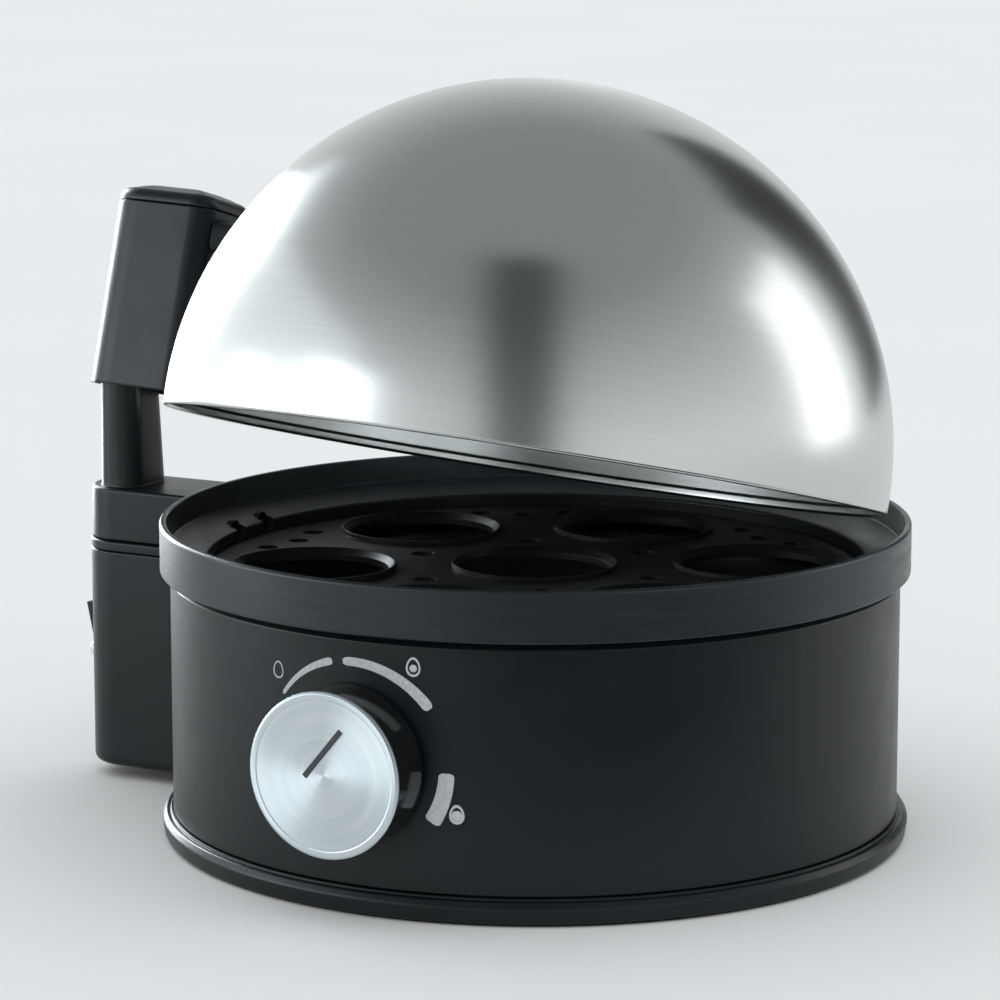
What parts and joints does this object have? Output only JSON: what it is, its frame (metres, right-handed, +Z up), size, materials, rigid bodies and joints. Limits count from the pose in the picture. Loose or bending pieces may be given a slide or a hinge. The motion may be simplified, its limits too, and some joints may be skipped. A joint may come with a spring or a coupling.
{
  "type": "egg cooker",
  "caption": "Round egg cooker with a satin steel dome lid, a side-handled lift-out egg tray, a dark base with a timer knob and a switch in its side handle.",
  "frame": {"origin": "on the round base's axis, on the surface that the base stands on", "axes": "+Z up, -Y towards the timer knob at the front, -X towards the stacked handles"},
  "size_m": [0.2049, 0.1789, 0.1697],
  "materials": {
    "anthracite_plastic": "fine-grained anthracite moulded plastic",
    "black_plastic": "plain black moulded plastic",
    "rubber": "soft black rubber",
    "silicone": "pale silicone",
    "zinc": "zinc-plated steel",
    "dark_dish": "dark non-stick coating on pressed aluminium",
    "element": "heat-tinted sheath",
    "ceramic": "off-white ceramic",
    "aluminium": "bright rolled sheet",
    "board": "green circuit board",
    "white_plastic": "plain white moulded plastic",
    "lamp_lens": "clear white lens",
    "brushed_face": "brushed steel",
    "dark_print": "dark inlay",
    "brushed_lid": "satin stainless steel"
  },
  "bodies": {
    "base": {"base_housing": "anthracite_plastic", "foot_ring": "anthracite_plastic", "non_slip_ring": "rubber", "bottom_cover": "black_plastic", "cover_screws": "zinc", "heating_dish": "dark_dish", "dish_seal": "silicone", "heating_element": "element", "dish_thermostat": "ceramic", "thermostat_clip": "zinc", "thermal_fuse": "zinc", "heat_shield": "aluminium", "shield_screws": "zinc", "time_selector": "zinc", "selector_nut": "zinc", "control_board": "board", "buzzer": "black_plastic", "cord_gland": "black_plastic", "cord_clamp": "black_plastic", "terminal_block": "white_plastic", "column_shell": "anthracite_plastic", "column_cap": "anthracite_plastic", "column_screws": "zinc", "switch_body": "black_plastic", "rocker_pin": "zinc"},
    "rocker": {"power_rocker": "black_plastic", "rocker_lens": "lamp_lens"},
    "knob": {"knob_body": "black_plastic", "knob_face": "brushed_face", "knob_marker": "dark_print", "knob_shaft": "zinc"},
    "tray": {"tray_collar": "anthracite_plastic", "egg_plate": "black_plastic", "tray_handle": "anthracite_plastic", "tray_handle_plug": "black_plastic", "tray_screws": "zinc"},
    "lid": {"lid_dome": "brushed_lid", "lid_handle": "anthracite_plastic", "lid_handle_cap": "anthracite_plastic", "lid_bracket": "anthracite_plastic", "lid_screws": "zinc"}
  },
  "joints": [
    {"name": "tray_lift", "type": "slide", "parent": "base", "child": "tray", "axis": [0, 0, 1], "range_m": [0, 0.06]},
    {"name": "lid_tip", "type": "hinge", "parent": "tray", "child": "lid", "pos_m": [0.01034, 0.0668, 0.0911], "axis": [-0.9882, 0.153, 0], "range_deg": [-14.8, 40]},
    {"name": "knob_turn", "type": "hinge", "parent": "base", "child": "knob", "pos_m": [0, -0.09, 0.0324], "axis": [0, -1, 0], "range_deg": [-90, 90]},
    {"name": "rocker_press", "type": "hinge", "parent": "base", "child": "rocker", "pos_m": [-0.1122, 0, 0.033], "axis": [0, 1, 0], "range_deg": [0, 12]}
  ]
}
